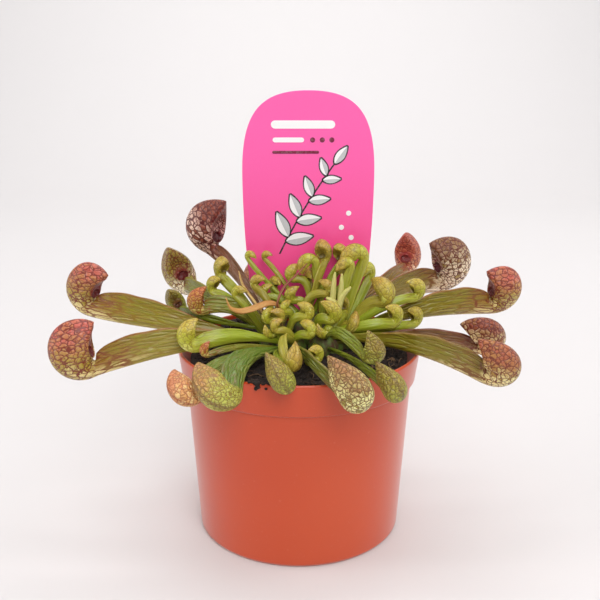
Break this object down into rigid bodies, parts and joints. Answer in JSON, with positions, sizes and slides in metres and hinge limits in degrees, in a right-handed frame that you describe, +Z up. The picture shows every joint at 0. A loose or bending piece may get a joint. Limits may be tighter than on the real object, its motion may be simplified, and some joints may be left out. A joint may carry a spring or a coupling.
{
  "type": "potted parrot pitcher plant",
  "caption": "Low carnivorous pitcher plant in a round plastic nursery pot: hooded tubular leaves spread from the soil, curled young ones fill the middle and a plain plant tag stands behind.",
  "frame": {"origin": "centre of the pot's underside, on the surface that it stands on", "axes": "+Z up along the pot's axis; -Y is the front, where the low front pitchers hang over the rim; the tag stands behind at +Y; +X is the viewer's right"},
  "size_m": [0.1759, 0.1349, 0.163],
  "materials": {
    "pot": "moulded terracotta-coloured plastic, semi-gloss, with faint mould marks",
    "soil": "damp dark fibrous peat with crumbs",
    "tag": "thin printed pink plastic sheet, satin",
    "leaf_red": "smooth living leaf, pink-red hood over olive, netted with darker veins, with pale windows low on the hood",
    "leaf_maroon": "smooth living leaf, dark maroon, netted, with pale pink windows at the margin",
    "leaf_olive": "smooth living leaf, olive green with a brown-red net and pale windows",
    "leaf_gold": "smooth living leaf, gold to cream blistered windows with an olive-brown net",
    "leaf_green": "smooth living leaf, yellow-green with fine dark veins",
    "young_leaf": "smooth young leaf, lime green, waxy",
    "bud": "smooth shut young leaf, pale yellow-green",
    "withered_leaf": "dry withered leaf, orange-brown, matt, with long creases"
  },
  "bodies": {
    "root": {"buds": "bud", "pitcher_back_left": "leaf_red", "pitcher_back_middle": "leaf_olive", "pitcher_back_right": "leaf_red", "pitcher_front_broad": "leaf_gold", "pitcher_front_corner": "leaf_green", "pitcher_front_inner": "leaf_green", "pitcher_front_left": "leaf_gold", "pitcher_front_middle": "leaf_green", "pitcher_front_right": "leaf_gold", "pitcher_left_back": "leaf_olive", "pitcher_left_curled": "leaf_green", "pitcher_left_high": "leaf_red", "pitcher_left_low": "leaf_red", "pitcher_left_middle": "leaf_green", "pitcher_left_small": "leaf_green", "pitcher_left_tall": "leaf_maroon", "pitcher_left_tiny": "leaf_olive", "pitcher_right_back": "leaf_olive", "pitcher_right_far": "leaf_maroon", "pitcher_right_high": "leaf_red", "pitcher_right_low": "leaf_olive", "pitcher_right_middle": "leaf_maroon", "pot": "pot", "soil": "soil", "tag": "tag", "withered_leaf_curved": "withered_leaf", "withered_leaf_thin": "withered_leaf", "withered_leaf_twisted": "withered_leaf", "young_pitchers_back": "young_leaf", "young_pitchers_front": "young_leaf", "young_pitchers_left": "young_leaf", "young_pitchers_middle": "young_leaf", "young_pitchers_right": "young_leaf"}
  },
  "joints": []
}
